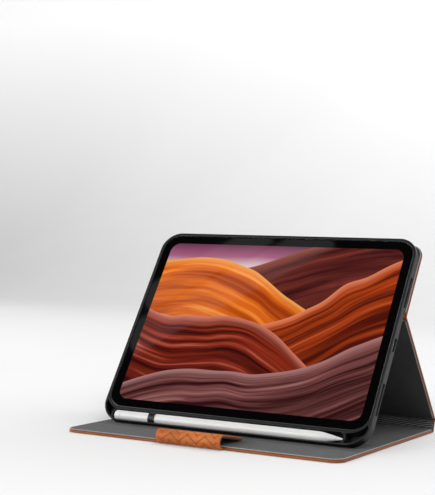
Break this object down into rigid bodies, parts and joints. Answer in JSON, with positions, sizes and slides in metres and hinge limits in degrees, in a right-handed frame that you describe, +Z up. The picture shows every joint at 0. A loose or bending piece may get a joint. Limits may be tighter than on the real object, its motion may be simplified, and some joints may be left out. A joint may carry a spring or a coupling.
{
  "type": "tablet in a folio stand",
  "caption": "Touch tablet in a tan leather folio case opened as a landscape stand, with a stylus in the tray's trough, a closing flap and a folding back.",
  "frame": {"origin": "middle of the front cover's underside, on the table", "axes": "+X along the long side to the right, +Y to the rear where the spine is, +Z up"},
  "size_m": [0.253, 0.2026, 0.1678],
  "materials": {
    "tan_leather": "matte, mottled pull-up, embossed herringbone band",
    "case_board": "raw greyboard",
    "lining": "dark grey microfibre",
    "tray_rubber": "satin black TPU",
    "aluminium": "bead-blasted, anodised silver",
    "cover_glass": "polished, black border behind",
    "lens_glass": "polished, dark",
    "display": "lit picture",
    "foam": "foam tape",
    "cell": "laminated pouch",
    "circuit": "solder mask",
    "speaker": "moulded box",
    "steel": "nickel-plated",
    "white_plastic": "gloss white"
  },
  "bodies": {
    "cover": {"cover_leather": "tan_leather", "cover_board": "case_board", "cover_lining": "lining", "wake_magnet": "steel"},
    "spine": {"spine_leather": "tan_leather", "spine_board": "case_board", "spine_lining": "lining", "rear_fold": "tan_leather"},
    "leg": {"leg_leather": "tan_leather", "leg_board": "case_board", "leg_lining": "lining", "spine_fold": "tan_leather"},
    "holder": {"back_leather": "tan_leather", "back_board": "case_board", "back_lining": "lining", "clasp_plate": "steel", "crease_fold": "tan_leather", "tray": "tray_rubber", "tablet_housing": "aluminium", "cover_glass": "cover_glass", "glass_gasket": "foam", "display_panel": "display", "battery_left": "cell", "battery_right": "cell", "main_board": "circuit", "board_shield": "steel", "rear_camera": "circuit", "camera_ring": "aluminium", "camera_lens": "lens_glass", "front_camera": "circuit", "usb_port": "steel", "speaker_left_upper": "speaker", "speaker_left_lower": "speaker", "speaker_right_upper": "speaker", "speaker_right_lower": "speaker", "power_switch": "circuit", "volume_up_switch": "circuit", "volume_down_switch": "circuit"},
    "power_button": {"power_button": "aluminium"},
    "volume_up_button": {"volume_up_button": "aluminium"},
    "volume_down_button": {"volume_down_button": "aluminium"},
    "flap": {"flap_leather": "tan_leather", "flap_stiffener": "case_board", "flap_lining": "lining", "flap_magnet": "steel"},
    "stylus": {"stylus_barrel": "white_plastic", "stylus_cap": "white_plastic", "stylus_nib": "white_plastic", "stylus_cell": "cell", "stylus_board": "circuit"}
  },
  "joints": [
    {"name": "stand_fold", "type": "hinge", "parent": "leg", "child": "holder", "pos_m": [0, 0.02694, 0.10335], "axis": [1, 0, 0], "range_deg": [0, 70.99]},
    {"name": "spine_hinge", "type": "hinge", "parent": "cover", "child": "spine", "pos_m": [0, 0.09625, 0.0015], "axis": [1, 0, 0], "range_deg": [-70.01, 0]},
    {"name": "leg_hinge", "type": "hinge", "parent": "spine", "child": "leg", "pos_m": [0, 0.09967, 0.0109], "axis": [1, 0, 0], "range_deg": [-58.2, 0]},
    {"name": "flap_hinge", "type": "hinge", "parent": "cover", "child": "flap", "pos_m": [-0.003, -0.09625, 0], "axis": [1, 0, 0], "range_deg": [0, 100]},
    {"name": "stylus_slide", "type": "slide", "parent": "holder", "child": "stylus", "axis": [-1, 0, 0], "range_m": [0, 0.235]},
    {"name": "power_press", "type": "slide", "parent": "holder", "child": "power_button", "axis": [1, 0, 0], "range_m": [0, 0.0004], "stiffness_N_per_m": 5000, "springref_m": -0.0001},
    {"name": "volume_up_press", "type": "slide", "parent": "holder", "child": "volume_up_button", "axis": [0, -0.5417, -0.8406], "range_m": [0, 0.0004], "stiffness_N_per_m": 5000, "springref_m": -0.0001},
    {"name": "volume_down_press", "type": "slide", "parent": "holder", "child": "volume_down_button", "axis": [0, -0.5417, -0.8406], "range_m": [0, 0.0004], "stiffness_N_per_m": 5000, "springref_m": -0.0001}
  ],
  "couplings": [
    {"joint": "spine_hinge", "follows": "stand_fold", "ratio": -0.98604},
    {"joint": "leg_hinge", "follows": "stand_fold", "ratio": -0.8197}
  ]
}
